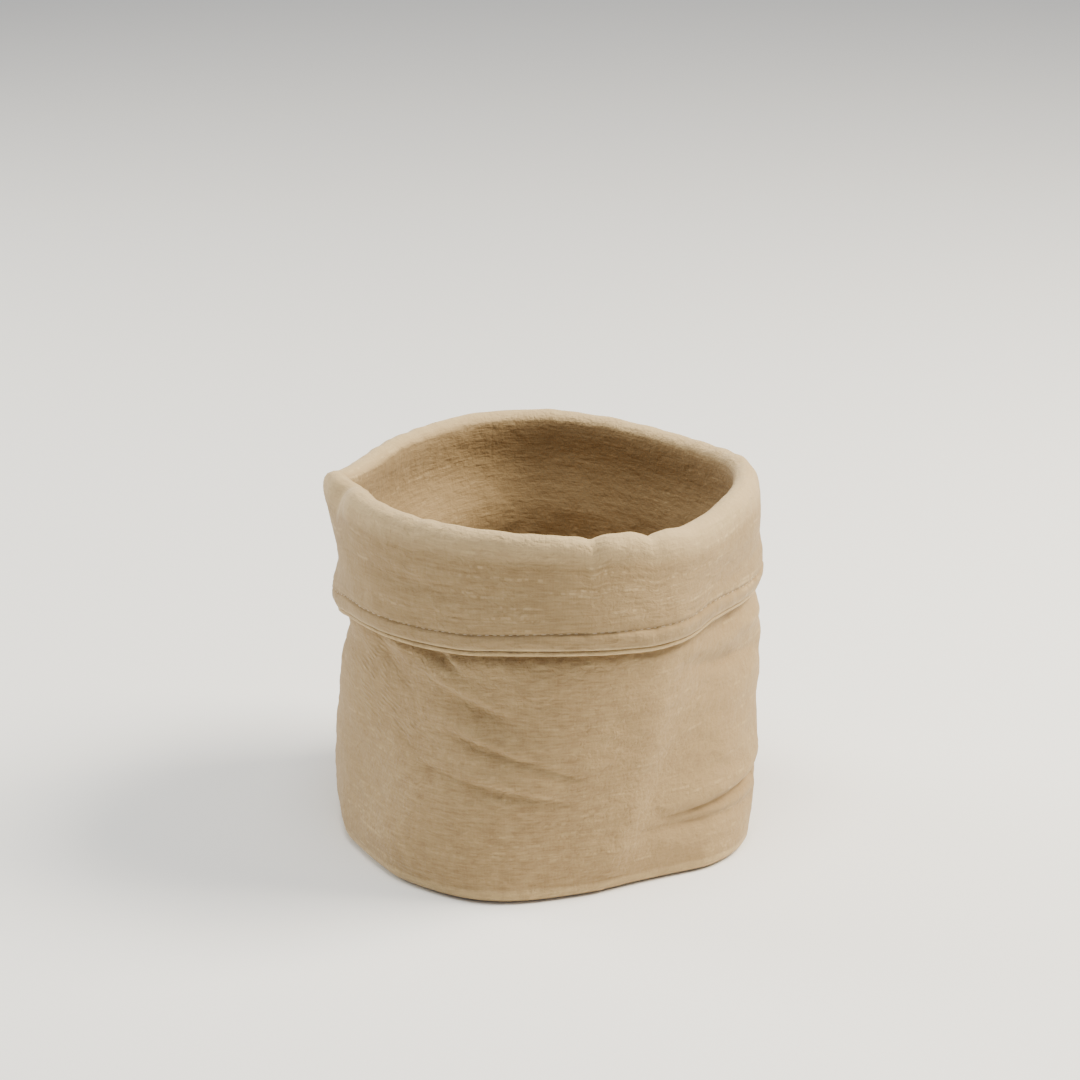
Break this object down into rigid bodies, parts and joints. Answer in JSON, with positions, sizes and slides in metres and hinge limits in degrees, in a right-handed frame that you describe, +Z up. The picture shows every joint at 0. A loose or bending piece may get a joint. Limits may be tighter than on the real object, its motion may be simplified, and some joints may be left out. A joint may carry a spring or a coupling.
{
  "type": "linen bread bag",
  "caption": "Soft lined linen bag with a squared base that stands open, its top turned down outside as a deep stitched cuff, for keeping and serving bread.",
  "frame": {"origin": "middle of the whole bag's box, on the surface that it stands on", "axes": "+Z up; the front panel faces -Y and the boxed side with the side seam faces +X, square with the base"},
  "size_m": [0.2146, 0.2152, 0.191],
  "materials": {
    "outer_linen": "matte natural linen, plain weave with slubs",
    "lining_linen": "matte natural linen, plain weave with slubs"
  },
  "bodies": {
    "root": {"outer_bag": "outer_linen", "lining": "lining_linen"}
  },
  "joints": []
}
